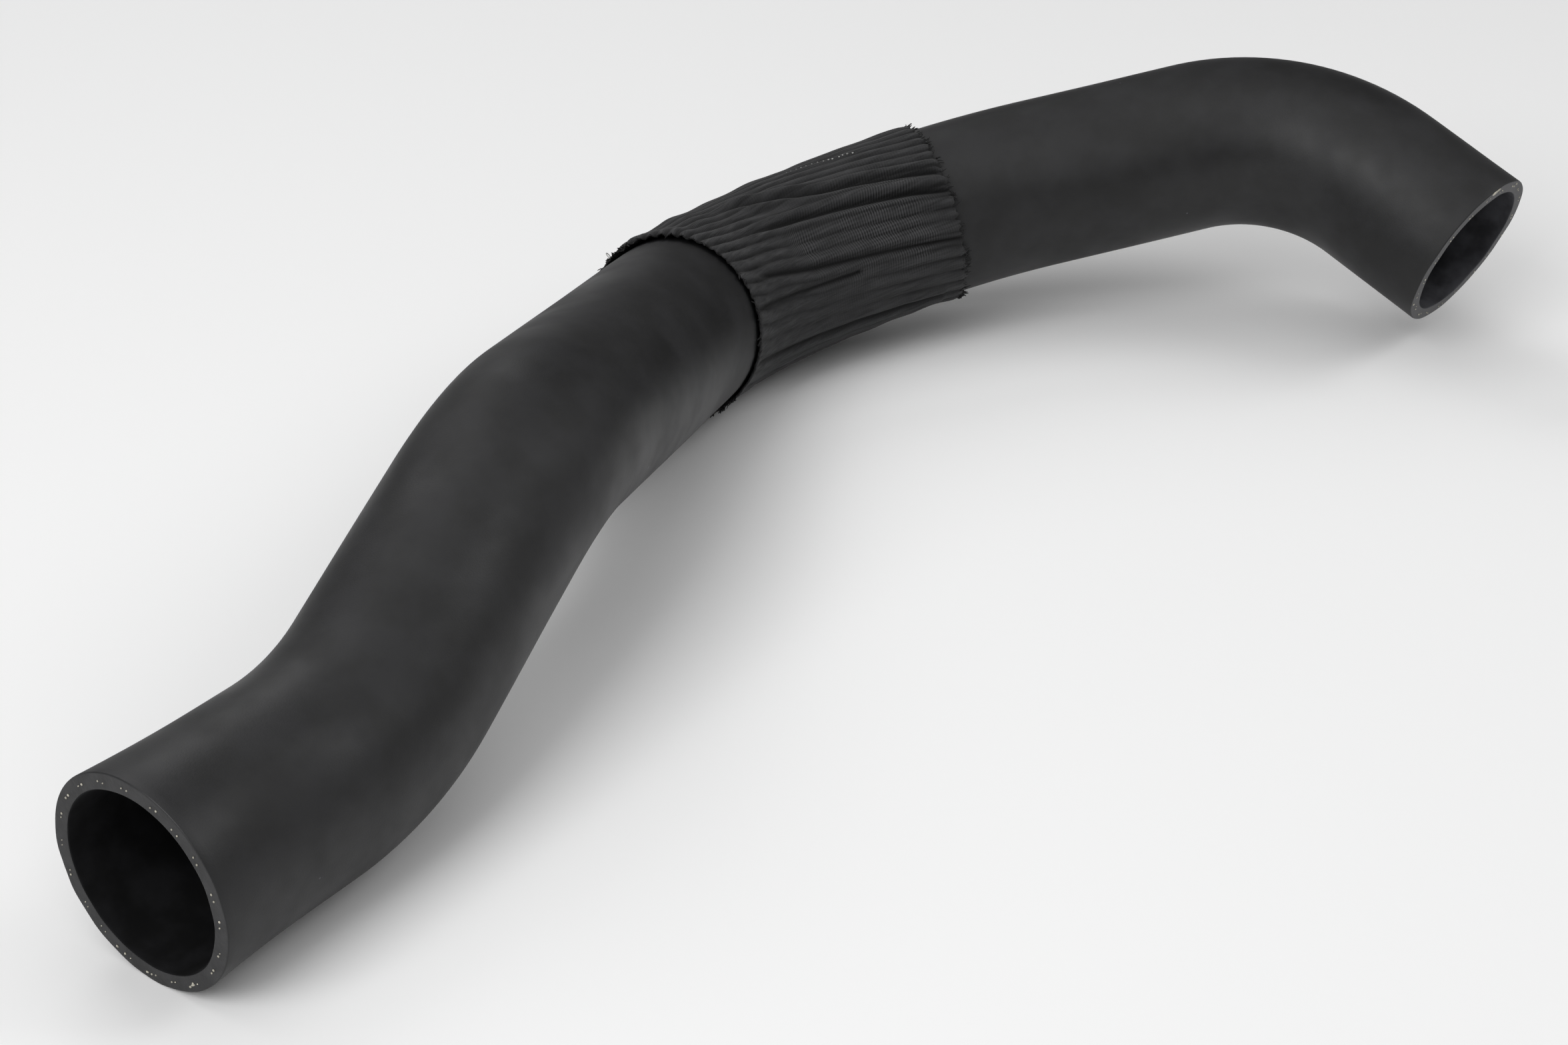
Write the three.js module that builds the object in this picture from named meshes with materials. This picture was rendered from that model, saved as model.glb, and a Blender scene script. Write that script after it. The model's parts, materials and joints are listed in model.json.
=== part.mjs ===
import * as THREE from 'three';
import { ConvexHull } from 'three/addons/math/ConvexHull.js';

// A charge air hose: a rubber hose cured to shape on a bent mandrel, with a knitted textile
// sleeve over its elbow. Millimetres, Z up. The hose lies on the floor as it comes to rest,
// X runs along its inlet leg, and the origin is on the floor under the middle of the part.

// Hose section
const BORE = 50;
const WALL = 5;

// The inlet mouth opens out to slip over its pipe
const MOUTH_FLARE = 1.3;
const MOUTH_LENGTH = 36;

// Straight legs of the route, from the inlet end to the outlet end
const INLET_LEG = 52;
const RISER_LEG = 59;
const LONG_LEG = 131;
const SHORT_LEG = 2;
const CROSS_LEG = 57;
const OUTLET_LEG = 39;

// Bends between the legs: angle in degrees, and radius of the centreline
const LIFT_ANGLE = 24;
const LIFT_RADIUS = 105;
const CREST_ANGLE = 34;
const CREST_RADIUS = 80;
const ELBOW_ANGLE = 45;
const ELBOW_RADIUS = 75;
const EASE_ANGLE = 24;
const EASE_RADIUS = 250;
const OUTLET_ANGLE = 50;
const OUTLET_RADIUS = 85;

// Turn of each bend's plane from the one before, in degrees about the leg between them.
// The first is the turn of the lift bend's plane from the floor.
const LIFT_ROLL = 57;
const CREST_ROLL = -129;
const ELBOW_ROLL = -130;
const EASE_ROLL = 21;
const OUTLET_ROLL = 58;

// Knitted sleeve: where it starts along the centreline, and how far it runs
const SLEEVE_START = 331;
const SLEEVE_LENGTH = 126;
const SLEEVE_CLEARANCE = 0.5;
const KNIT_THICKNESS = 0.6;

// Pleats of the sleeve, which stand highest and closest together on one flank, and turn about
// the hose on their way along it. Angles round a section are in degrees from the frame's X
// towards its Y.
const PLEATS = 36;
const PLEAT_HEIGHT = 1.1;
const PLEAT_EVENNESS = 0.6;
const PLEAT_FLANK = 100;
const PLEAT_CROWDING = 0.3;
const PLEAT_TWIST = 25;

// Cut edges of the sleeve: each is skewed, its lip stands off the hose, and its pleats end
// in scallops
const SKEW_SIDE = 160;
const START_SKEW = 3;
const END_SKEW = 2;
const LIP_RISE = 0.7;
const LIP_LENGTH = 5;
const SCALLOP = 1.2;

// Fineness of the facets
const HOSE_FACETS = 40;
const BEND_STEP = 6;
const MOUTH_RINGS = 4;
const POINTS_PER_PLEAT = 4;
const LINING_FACETS = 36;
const SLEEVE_BAYS = 11;

const HOSE_RADIUS = BORE / 2 + WALL;
const X = new THREE.Vector3(1, 0, 0);
const Y = new THREE.Vector3(0, 1, 0);
const Z = new THREE.Vector3(0, 0, 1);
const DOWN = new THREE.Vector3(0, 0, -1);
const HUB = new THREE.Vector2(0, 0);
const rad = THREE.MathUtils.degToRad;

// The route as a chain of legs and bends. Each bend turns about an axis square to the leg
// before it, which is the last bend's axis rolled about that leg.
const ROUTE = [
  { leg: INLET_LEG, roll: LIFT_ROLL, angle: LIFT_ANGLE, radius: LIFT_RADIUS },
  { leg: RISER_LEG, roll: CREST_ROLL, angle: CREST_ANGLE, radius: CREST_RADIUS },
  { leg: LONG_LEG, roll: ELBOW_ROLL, angle: ELBOW_ANGLE, radius: ELBOW_RADIUS },
  { leg: SHORT_LEG, roll: EASE_ROLL, angle: EASE_ANGLE, radius: EASE_RADIUS },
  { leg: CROSS_LEG, roll: OUTLET_ROLL, angle: OUTLET_ANGLE, radius: OUTLET_RADIUS },
  { leg: OUTLET_LEG },
];

// Carries a frame straight ahead along its own Z
function ahead(distance) {
  return new THREE.Matrix4().makeTranslation(0, 0, distance);
}

// Carries a frame round a bend, about an axis that lies in the frame's own XY plane
function around(axis, radius, turn) {
  const centre = new THREE.Vector3().crossVectors(axis, Z).multiplyScalar(radius);
  const spin = new THREE.Matrix4().makeRotationAxis(axis, turn);
  const arm = centre.clone().negate().applyMatrix4(spin);
  return spin.setPosition(centre.add(arm));
}

// The route in pieces. Each knows where it starts, how far it runs, how many degrees it
// turns, and how to carry a frame along it. The frame's Z is the tangent, and the frame
// never twists about it.
function layRoute() {
  const pieces = [];
  const frame = new THREE.Matrix4().makeBasis(Y, Z, X);
  const axis = Y.clone();
  let start = 0;
  const add = (length, degrees, carry) => {
    pieces.push({ start, length, degrees, carry, frame: frame.clone() });
    frame.multiply(carry(length));
    start += length;
  };
  for (const { leg, roll, angle, radius } of ROUTE) {
    add(leg, 0, ahead);
    if (angle === undefined) continue;
    const bendAxis = axis.applyAxisAngle(Z, rad(roll)).clone();
    add(radius * rad(angle), angle, (s) => around(bendAxis, radius, s / radius));
  }
  return { pieces, length: start };
}

const route = layRoute();

// The frame on the centreline at distance s from the inlet end
function frameAt(s) {
  const piece = route.pieces.findLast(({ start }) => start <= s);
  return piece.frame.clone().multiply(piece.carry(s - piece.start));
}

// Distances along the route where the hose has a ring of corners: a few in the flared mouth,
// none within a straight leg, and one every few degrees of a bend
function hoseStations() {
  const stations = [0];
  for (let ring = 1; ring <= MOUTH_RINGS; ring += 1) {
    stations.push((MOUTH_LENGTH * ring) / MOUTH_RINGS);
  }
  for (const { start, length, degrees } of route.pieces) {
    const steps = Math.max(1, Math.round(degrees / BEND_STEP));
    for (let step = 1; step <= steps; step += 1) {
      stations.push(start + (length * step) / steps);
    }
  }
  return [...new Set(stations)].sort((one, other) => one - other);
}

// How far the hose stands out beyond its plain section, which it does only in the mouth
function flareAt(s) {
  const share = Math.max(0, 1 - s / MOUTH_LENGTH);
  return MOUTH_FLARE * share * share;
}

// A closed ring of points in the section plane. The radius is a function of the point's share
// of the way round, and so is the angle, unless the points are evenly spaced.
function ring(count, radiusAt, angleAt = (share) => 2 * Math.PI * share) {
  return Array.from({ length: count }, (_, i) => {
    const angle = angleAt(i / count);
    const radius = radiusAt(i / count);
    return new THREE.Vector2(radius * Math.cos(angle), radius * Math.sin(angle));
  });
}

// A straight tube blank of the given section, with its layers one unit apart
function tubeBlank(outer, inner, layers) {
  const section = new THREE.Shape(outer);
  section.holes.push(new THREE.Path(inner));
  return new THREE.ExtrudeGeometry(section, {
    depth: layers - 1,
    steps: layers - 1,
    bevelEnabled: false,
  });
}

// Bends a blank onto the route: place(corner, layer) gives each corner's distance along the
// route and its offset across it
function bendOntoRoute(blank, place) {
  const position = blank.getAttribute('position');
  const corner = new THREE.Vector3();
  for (let i = 0; i < position.count; i += 1) {
    corner.fromBufferAttribute(position, i);
    const { s, across } = place(new THREE.Vector2(corner.x, corner.y), Math.round(corner.z));
    corner.set(across.x, across.y, 0).applyMatrix4(frameAt(s));
    position.setXYZ(i, corner.x, corner.y, corner.z);
  }
  blank.deleteAttribute('uv');
  blank.computeVertexNormals();
  return blank;
}

// The moulded hose: one tube with an open bore and square-cut ends
function moulded_hose() {
  const stations = hoseStations();
  const blank = tubeBlank(
    ring(HOSE_FACETS, () => HOSE_RADIUS),
    ring(HOSE_FACETS, () => BORE / 2),
    stations.length,
  );
  return bendOntoRoute(blank, (across, layer) => {
    const s = stations[layer];
    across.setLength(across.length() + flareAt(s));
    return { s, across };
  });
}

// The angle at a share of the way round the pleats, which crowd together on their flank
function pleatAngle(share) {
  const turn = 2 * Math.PI * share;
  return turn - PLEAT_CROWDING * Math.sin(turn - rad(PLEAT_FLANK));
}

// How high the pleats stand at an angle round the sleeve: full on their own flank, and a
// share of that opposite
function pleatHeight(angle) {
  const nearness = (1 + Math.cos(angle - rad(PLEAT_FLANK))) / 2;
  return PLEAT_HEIGHT * THREE.MathUtils.lerp(PLEAT_EVENNESS, 1, nearness);
}

// The knitted sleeve: a pleated tube round the hose. Its layers lie close together at both
// lips, and in even bays between them.
function textile_sleeve() {
  const lipShare = LIP_LENGTH / SLEEVE_LENGTH;
  const shares = [0];
  for (let bay = 0; bay <= SLEEVE_BAYS; bay += 1) {
    shares.push(THREE.MathUtils.lerp(lipShare, 1 - lipShare, bay / SLEEVE_BAYS));
  }
  shares.push(1);

  // The lining's flats clear the hose, so its corners stand out by the flats' sagitta
  const lining = (HOSE_RADIUS + SLEEVE_CLEARANCE) / Math.cos(Math.PI / LINING_FACETS);
  const valley = lining + KNIT_THICKNESS;
  const crestAt = (share) => (1 - Math.cos(2 * Math.PI * PLEATS * share)) / 2;
  const pleated = (share) => valley + pleatHeight(pleatAngle(share)) * crestAt(share);
  const blank = tubeBlank(
    ring(PLEATS * POINTS_PER_PLEAT, pleated, pleatAngle),
    ring(LINING_FACETS, () => lining),
    shares.length,
  );

  return bendOntoRoute(blank, (across, layer) => {
    const angle = across.angle();
    const crest = Math.max(0, (across.length() - valley) / pleatHeight(angle));
    const lean = Math.cos(angle - rad(SKEW_SIDE));
    const scallop = SCALLOP * (crest - 0.5);
    const from = SLEEVE_START + START_SKEW * lean - scallop;
    const to = SLEEVE_START + SLEEVE_LENGTH + END_SKEW * lean + scallop;
    const atLip = layer === 0 || layer === shares.length - 1;
    if (atLip) across.setLength(across.length() + LIP_RISE);
    across.rotateAround(HUB, rad(PLEAT_TWIST) * shares[layer]);
    return { s: THREE.MathUtils.lerp(from, to, shares[layer]), across };
  });
}

function piece(name, geometry, color, roughness) {
  const material = new THREE.MeshStandardMaterial({ color, roughness, metalness: 0 });
  const mesh = new THREE.Mesh(geometry, material);
  mesh.name = name;
  return mesh;
}

// Every corner of the group's meshes, in the group's own frame
function cornersOf(group) {
  return group.children.flatMap(({ geometry }) => {
    const position = geometry.getAttribute('position');
    return Array.from({ length: position.count }, (_, i) => (
      new THREE.Vector3().fromBufferAttribute(position, i)
    ));
  });
}

// The centre of volume of a closed surface given as corners, three to a facet
function centreOfVolume(corners) {
  const centre = new THREE.Vector3();
  let volume = 0;
  for (let i = 0; i < corners.length; i += 3) {
    const [a, b, c] = corners.slice(i, i + 3);
    const wedge = a.dot(b.clone().cross(c)) / 6;
    volume += wedge;
    centre.addScaledVector(a.clone().add(b).add(c), wedge / 4);
  }
  return centre.divideScalar(volume);
}

// The outward normal of the face of the hull that the part comes to rest on: the one nearest
// to facing down of those that the centre of volume stands over
function restingNormal(corners) {
  const centre = centreOfVolume(corners);
  const foot = new THREE.Vector3();
  const stable = new ConvexHull().setFromPoints(corners).faces.filter((face) => {
    foot.copy(centre).addScaledVector(face.normal, -face.distanceToPoint(centre));
    const [a, b, c] = [0, 1, 2].map((i) => face.getEdge(i).head().point);
    return new THREE.Triangle(a, b, c).containsPoint(foot);
  });
  stable.sort((one, other) => other.normal.dot(DOWN) - one.normal.dot(DOWN));
  return stable[0].normal;
}

// Lays the group down as it comes to rest, with its inlet leg along X and the origin on the
// floor under the middle
function layDown(group) {
  const corners = cornersOf(group);
  const settle = new THREE.Quaternion().setFromUnitVectors(restingNormal(corners), DOWN);
  const inlet = X.clone().applyQuaternion(settle);
  const turn = new THREE.Quaternion().setFromAxisAngle(Z, -Math.atan2(inlet.y, inlet.x));
  group.quaternion.copy(turn.multiply(settle));
  corners.forEach((corner) => corner.applyQuaternion(group.quaternion));
  const box = new THREE.Box3().setFromPoints(corners);
  group.position.copy(box.getCenter(new THREE.Vector3())).setZ(box.min.z).negate();
}

const hose = new THREE.Group();
hose.add(piece('moulded_hose', moulded_hose(), 0x333335, 0.55));
hose.add(piece('textile_sleeve', textile_sleeve(), 0x29292b, 0.85));
layDown(hose);

export default hose;
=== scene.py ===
import json
import math
import random

import bmesh
import bpy
from bpy.props import FloatProperty, FloatVectorProperty, IntProperty, PointerProperty
from mathutils import Matrix, Vector, noise


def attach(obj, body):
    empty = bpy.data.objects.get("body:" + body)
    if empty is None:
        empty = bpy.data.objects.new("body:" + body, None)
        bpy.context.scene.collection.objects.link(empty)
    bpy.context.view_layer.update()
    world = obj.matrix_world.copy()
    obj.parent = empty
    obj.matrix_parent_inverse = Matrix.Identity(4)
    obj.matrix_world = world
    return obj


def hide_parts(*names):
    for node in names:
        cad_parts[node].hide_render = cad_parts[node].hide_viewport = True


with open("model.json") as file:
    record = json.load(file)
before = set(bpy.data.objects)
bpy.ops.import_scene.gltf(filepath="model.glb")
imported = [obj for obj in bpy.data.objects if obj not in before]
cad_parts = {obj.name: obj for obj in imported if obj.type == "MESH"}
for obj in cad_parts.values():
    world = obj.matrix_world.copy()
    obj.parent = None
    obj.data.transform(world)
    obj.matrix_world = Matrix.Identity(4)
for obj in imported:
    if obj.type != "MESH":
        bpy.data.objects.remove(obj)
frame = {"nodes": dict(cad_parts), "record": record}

# A charge air hose: black rubber cured to shape on a bent mandrel, with a pleated knit sleeve
# over its elbow. Metres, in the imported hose's own place on the floor.

bl_info = {
    "name": "Charge air hose",
    "version": (1, 0, 0),
    "blender": (4, 5, 0),
    "location": "3D View > Sidebar > Hose",
    "description": "Models a formed charge air hose with a pleated knit sleeve",
    "category": "Add Mesh",
}

MM = 0.001
Y_AXIS = Vector((0, 1, 0))
Z_AXIS = Vector((0, 0, 1))

# The route: each straight leg and the bend after it. Leg and bend radius in millimetres,
# the roll of the bend's plane about the leg and the bend's angle in degrees.
ROUTE = (
    {"leg": 52, "roll": 57, "angle": 24, "radius": 105},
    {"leg": 59, "roll": -129, "angle": 34, "radius": 80},
    {"leg": 131, "roll": -130, "angle": 45, "radius": 75},
    {"leg": 2, "roll": 21, "angle": 24, "radius": 250},
)

# The outlet bend and leg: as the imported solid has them, which places the route, and as the
# hose is seen to have them, with its mouth turned further back towards the inlet
PACKED_OUTLET = (
    {"leg": 57, "roll": 58, "angle": 50, "radius": 85},
    {"leg": 39, "roll": 0, "angle": 0, "radius": 0},
)
SEEN_OUTLET = (
    {"leg": 56.9, "roll": 32.6, "angle": 59.6, "radius": 69.6},
    {"leg": 40, "roll": 0, "angle": 0, "radius": 0},
)

# Fineness of the meshes
HOSE_SIDES = 128
SKIN_STEP = 3 * MM
BORE_STEP = 6 * MM
CUT_LOOPS = 6
WELD = 0.02 * MM
SLEEVE_SIDES = 432
SLEEVE_STEP = 1.8 * MM

# Unevenness of the moulded skin and of the knife cut at its ends
SKIN_WANDER = 0.18 * MM
SKIN_WAVELENGTH = 45 * MM
SKIN_FADE = 12 * MM
CUT_WANDER = 0.25 * MM
CUT_WAVELENGTH = 9 * MM

# Yarn ends on a cut face: two to each pair
YARN_PAIR_PITCH = 9 * MM
YARN_PAIR_GAP = 1.7 * MM
YARN_RADIUS = 0.30 * MM
YARN_PROUD = 0.12 * MM

# Where the yarn shows as a bigger patch on a cut face: degrees round it, millimetres off the
# middle of the wall, and half its length and width in millimetres
YARN_PATCHES = {
    "inlet_yarn_ends": (
        (238, 0.3, 0.9, 0.3), (241, 0.7, 0.4, 0.3), (274, 0.5, 0.5, 0.3), (296, 0.3, 0.5, 0.3)),
    "outlet_yarn_ends": (
        (106, 1.6, 1.9, 0.8), (102, 1.9, 1.2, 0.5), (72, 1.3, 0.5, 0.4), (216, 1.4, 0.5, 0.4)),
}

# How far into the outlet its bore is painted paler
OUTLET_PALE_REACH = 45 * MM

# Deep folds of the sleeve, each by its points: millimetres from the near edge, and degrees
# round the hose. The first number is how far the knit bulges beside the fold.
FOLDS = (
    (2.3, (34, 92), (60, 104), (77, 114), (99, 121), (126, 130)),
    (2.5, (36, 121), (66, 127), (83, 131), (111, 138), (128, 144)),
    (1.3, (14, 146), (74, 162), (128, 175)),
    (0.9, (-4, 163), (38, 167), (80, 172)),
    (1.0, (-4, 198), (57, 206), (118, 218)),
)
FOLD_HALF_WIDTH = 0.9 * MM
BULGE_PLACE = 3.0 * MM
BULGE_WIDTH = 1.9 * MM
FOLD_RUN_IN = 14 * MM

# Where the knit's crosswise ribs show: millimetres from the near edge, degrees round the
# hose, and how far from there in millimetres. They show faintly everywhere.
RIB_PATCHES = ((100, 140, 13), (84, 150, 13), (60, 146, 9), (108, 166, 9), (16, 118, 8))
RIBS_ANYWHERE = 0.1

# How high the pleats stand, as shares of the highest: all over, more on the flank, more at
# the near edge and most at the near edge on the flank, and more at the far edge
PLEATS_ANYWHERE = 0.24
PLEATS_ON_FLANK = 0.22
PLEATS_NEAR = 0.16
PLEATS_NEAR_FLANK = 0.70
PLEATS_FAR = 0.38

# How soon that fades from each edge, as a share of the sleeve, and how it fades round from
# one side of the sleeve: below 1 it reaches further round than a plain cosine
NEAR_FADE = 0.22
FAR_FADE = 0.16
SIDE_FADE = 0.9

# A pleat's shape: below 1 its top is broad and the valleys between are narrow. The knit
# counts as flat, for its painted light and shade, at one share of a pleat's height.
PLEAT_ROUNDNESS = 0.75
FLAT_CREST = 0.62
CROWDING_ROUNDS = 6

# Unevenness of the knit: how long its waves are, and where in the noise they are taken
DRIFT_WAVES = (35 * MM, 9)
HEIGHT_WAVES = (13 * MM, 3)
BULGE_WAVES = (20 * MM, 21)
SOFT_WAVES = (9 * MM, 31)
RIB_WAVES = (5 * MM, 41)
PLEAT_DRIFT = 1.1
SOFT_HEIGHT = 0.2 * MM

# The raw edges: how far in they hold the relief down, and how ragged they are
LIP_FADE = 1.6 * MM
RAGGED_NEAR = 0.9 * MM
RAGGED_FAR = 1.3 * MM

# The near edge runs back on the side at this angle, and less and less so along the sleeve
NEAR_SKEW = 5.5 * MM
SKEW_SIDE = 60

# Loose threads of the knit: how many stand out of each raw edge, where they come in tufts,
# in degrees round the hose, and their sizes. Reach, lean and lift are in millimetres.
EDGE_THREADS = {"near": 70, "far": 190}
TUFTS = {"near": (44, 50, 57, 226, 234, 242), "far": (46, 70, 104, 148, 190, 228, 236)}
TUFT_THREADS = 14
TUFT_SPREAD = 1.5
THREAD_RADIUS = 0.17 * MM
THREAD_SIDES = 5
THREAD_REACH = 2.9
THREAD_LEAN = 1.6
THREAD_LIFT = (-0.8, 1.1)
THREAD_SINK = 0.2 * MM
THREAD_POINTS = (-0.3, 0.2, 0.55, 0.8, 1.0)

# The row of pale stitches runs between two places, and the pale loop stands at a third:
# millimetres from the near edge, and degrees round the hose
STITCHES = 17
STITCH_ROW = ((70, 76), (101, 89.5))
LOOP_PLACE = (-0.5, 45)
LOOP_RADIUS = 1.2 * MM
LOOP_STEPS = 15

# Camera: its place, where it points in degrees, and its lens and sensor in millimetres
CAMERA_PLACE = (-0.64749, -0.47299, 0.47325)
CAMERA_HEADING = 37.008
CAMERA_DIP = 30.656
CAMERA_ROLL = 0.167
CAMERA_LENS = 66.03
SENSOR_WIDTH = 36

# Square soft boxes, aimed at the hose: place, side and watts. Then the light from all
# round, and the floor.
SOFTBOXES = {
    "top_softbox": ((-0.20, 0.10, 1.70), 1.8, 8.9),
    "key_softbox": ((-1.60, 0.00, 1.35), 1.1, 19.2),
    "near_softbox": ((-1.13, -1.13, 1.35), 1.1, 4.2),
    "fill_softbox": ((1.13, -1.13, 1.35), 1.1, 9.9),
    "back_softbox": ((0.60, 1.45, 1.35), 1.1, 7.5),
}
ROOM_LIGHT = 0.13
FLOOR_RADIUS = 6
FLOOR_SIDES = 96
FLOOR_ROUGHNESS = 0.9


class HoseSizes(bpy.types.PropertyGroup):
    bore: FloatProperty(
        name="Bore", description="Inner diameter of the hose", default=0.05, unit="LENGTH")
    wall: FloatProperty(
        name="Wall", description="Thickness of the rubber wall", default=0.005, unit="LENGTH")
    mouth_flare: FloatProperty(
        name="Mouth flare", description="How far the inlet mouth opens out",
        default=0.0013, unit="LENGTH")
    mouth_length: FloatProperty(
        name="Mouth length", description="Length of the flared inlet mouth",
        default=0.036, unit="LENGTH")
    edge_round: FloatProperty(
        name="Edge rounding", description="Rounding of the cut ends' edges",
        default=0.0005, unit="LENGTH")


class SleeveSizes(bpy.types.PropertyGroup):
    start: FloatProperty(
        name="Start", description="Distance along the hose to the sleeve's near edge",
        default=0.331, unit="LENGTH")
    length: FloatProperty(
        name="Length", description="Length of the sleeve along the hose",
        default=0.126, unit="LENGTH")
    clearance: FloatProperty(
        name="Clearance", description="Air between the hose and the knit",
        default=0.0004, unit="LENGTH")
    thickness: FloatProperty(
        name="Thickness", description="Thickness of the knit", default=0.0006, unit="LENGTH")
    pleats: IntProperty(
        name="Pleats", description="Number of pleats round the sleeve", default=36)
    pleat_height: FloatProperty(
        name="Pleat height", description="Height of the highest pleats",
        default=0.0021, unit="LENGTH")
    flank: FloatProperty(
        name="Flank", description="Angle at which the pleats stand highest, in degrees",
        default=100.0)
    crowding: FloatProperty(
        name="Crowding", description="How far the pleats crowd together on the flank",
        default=0.3)
    twist: FloatProperty(
        name="Twist", description="Turn of the pleats from edge to edge, in degrees",
        default=25.0)
    lip_rise: FloatProperty(
        name="Lip rise", description="How far the edges stand off the hose",
        default=0.0002, unit="LENGTH")
    rib_pitch: FloatProperty(
        name="Rib pitch", description="Distance between the knit's crosswise ribs",
        default=0.0011, unit="LENGTH")


class HoseColours(bpy.types.PropertyGroup):
    rubber: FloatVectorProperty(
        name="Rubber", description="Moulded outer skin", subtype="COLOR",
        default=(0.0055, 0.0055, 0.0062))
    cut_rubber: FloatVectorProperty(
        name="Cut rubber", description="Sawn face at the ends", subtype="COLOR",
        default=(0.030, 0.030, 0.031))
    yarn: FloatVectorProperty(
        name="Yarn", description="Ends of the reinforcing yarn", subtype="COLOR",
        default=(0.60, 0.57, 0.48))
    knit: FloatVectorProperty(
        name="Knit", description="Sleeve yarn", subtype="COLOR", default=(0.023, 0.023, 0.0238))
    pale_thread: FloatVectorProperty(
        name="Pale thread", description="Stitches and the loose loop on the sleeve",
        subtype="COLOR", default=(0.42, 0.42, 0.41))
    floor: FloatVectorProperty(
        name="Floor", description="Studio floor", subtype="COLOR", default=(0.97, 0.97, 0.97))


def cut_face(name):
    """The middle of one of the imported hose's cut ends, and the direction it faces."""
    mount = next(m for m in frame["record"]["mounts"] if m["name"] == name)
    point = Vector(mount["pos_m"])
    outward = Vector(mount["axis"])
    corners = {
        tuple(round(c, 6) for c in vertex.co)
        for vertex in frame["nodes"]["moulded_hose"].data.vertices
        if abs((vertex.co - point).dot(outward)) < 0.1 * MM
    }
    middle = sum((Vector(corner) for corner in corners), Vector()) / len(corners)
    return middle, outward


def basis(along, beside):
    """A turn whose X is one direction, and whose XY plane holds the other."""
    x = along.normalized()
    z = x.cross(beside).normalized()
    return Matrix((x, z.cross(x), z)).transposed()


def bend(axis, radius, turn):
    """Carries a frame round a bend, about an axis in the frame's own XY plane."""
    centre = Matrix.Translation(axis.cross(Z_AXIS) * radius)
    return centre @ Matrix.Rotation(turn, 4, axis) @ centre.inverted()


class Route:
    """The hose's centreline. At any distance along it there is a frame whose Z is the tangent."""

    def __init__(self, parts):
        self.stretches = []
        self.length = 0.0
        here = Matrix(((0, 0, 1), (1, 0, 0), (0, 1, 0))).to_4x4()
        axis = Y_AXIS
        for part in parts:
            here = self.add(here, part["leg"] * MM, lambda run: Matrix.Translation(Z_AXIS * run))
            if part["angle"]:
                axis = Matrix.Rotation(math.radians(part["roll"]), 3, Z_AXIS) @ axis
                radius = part["radius"] * MM
                arc = radius * math.radians(part["angle"])
                here = self.add(here, arc, lambda run, a=axis, r=radius: bend(a, r, run / r))
        self.place = Matrix.Identity(4)

    def add(self, here, length, carry):
        self.stretches.append((self.length, here, carry))
        self.length += length
        return here @ carry(length)

    def at(self, along):
        start, here, carry = [s for s in self.stretches if s[0] <= max(along, 0)][-1]
        return self.place @ here @ carry(along - start)

    def lay(self):
        """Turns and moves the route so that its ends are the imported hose's own."""
        middle, inlet = cut_face("inlet_end")
        outlet = cut_face("outlet_end")[1]
        first, last = self.at(0), self.at(self.length)
        turn = basis(-inlet, outlet) @ basis(first.col[2].xyz, last.col[2].xyz).inverted()
        self.place = (Matrix.Translation(middle) @ turn.to_4x4()
                      @ Matrix.Translation(-first.translation))


packed_route = Route(ROUTE + PACKED_OUTLET)
packed_route.lay()
route = Route(ROUTE + SEEN_OUTLET)
route.place = packed_route.place


def stations(start, end, step):
    """Even distances from start to end, no further apart than step."""
    count = math.ceil((end - start) / step)
    return [start + (end - start) * i / count for i in range(count + 1)]


def new_mesh():
    """An empty bmesh whose vertices know how far along and how far around the hose they are."""
    bm = bmesh.new()
    bm.verts.layers.float.new("along")
    bm.verts.layers.float.new("around")
    return bm


def ring_edges(ring):
    """The edges that run round a ring, each once."""
    members = set(ring)
    found = (e for v in ring for e in v.link_edges if members.issuperset(e.verts))
    return list(dict.fromkeys(found))


def grow(bm, edges):
    """Extrudes a loop of edges, and returns the new loop's edges and vertices."""
    grown = bmesh.ops.extrude_edge_only(bm, edges=edges)["geom"]
    ring = [item for item in grown if isinstance(item, bmesh.types.BMVert)]
    fresh = set(ring)
    loop = [
        item for item in grown
        if isinstance(item, bmesh.types.BMEdge) and fresh.issuperset(item.verts)
    ]
    return loop, ring


def sweep(bm, radius, sides, distances):
    """Carries a round section along the route. Returns its rings as (distance, vertices)."""
    along = bm.verts.layers.float["along"]
    around = bm.verts.layers.float["around"]
    ring = bmesh.ops.create_circle(bm, segments=sides, radius=radius)["verts"]
    for vertex in ring:
        vertex[around] = math.atan2(vertex.co.y, vertex.co.x) % math.tau
        vertex[along] = distances[0]
    bmesh.ops.transform(bm, matrix=route.at(distances[0]), verts=ring)
    edges = ring_edges(ring)
    rings = [(distances[0], ring)]
    for last, distance in zip(distances, distances[1:]):
        edges, ring = grow(bm, edges)
        step = route.at(distance) @ route.at(last).inverted()
        bmesh.ops.transform(bm, matrix=step, verts=ring)
        for vertex in ring:
            vertex[along] = distance
        rings.append((distance, ring))
    return rings


def swell(bm, rings, outward):
    """Moves each ring's vertices off the centreline by outward(along, around)."""
    around = bm.verts.layers.float["around"]
    for distance, ring in rings:
        turn = route.at(distance).to_3x3()
        for vertex in ring:
            angle = vertex[around]
            arm = turn @ Vector((math.cos(angle), math.sin(angle), 0))
            vertex.co += arm * outward(distance, angle)


def slide(bm, ring, onward):
    """Moves vertices along the hose by onward(along, around), and notes their new place."""
    along = bm.verts.layers.float["along"]
    around = bm.verts.layers.float["around"]
    for vertex in ring:
        here = vertex[along]
        there = here + onward(here, vertex[around])
        vertex.co = route.at(there) @ route.at(here).inverted() @ vertex.co
        vertex[along] = there


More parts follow.
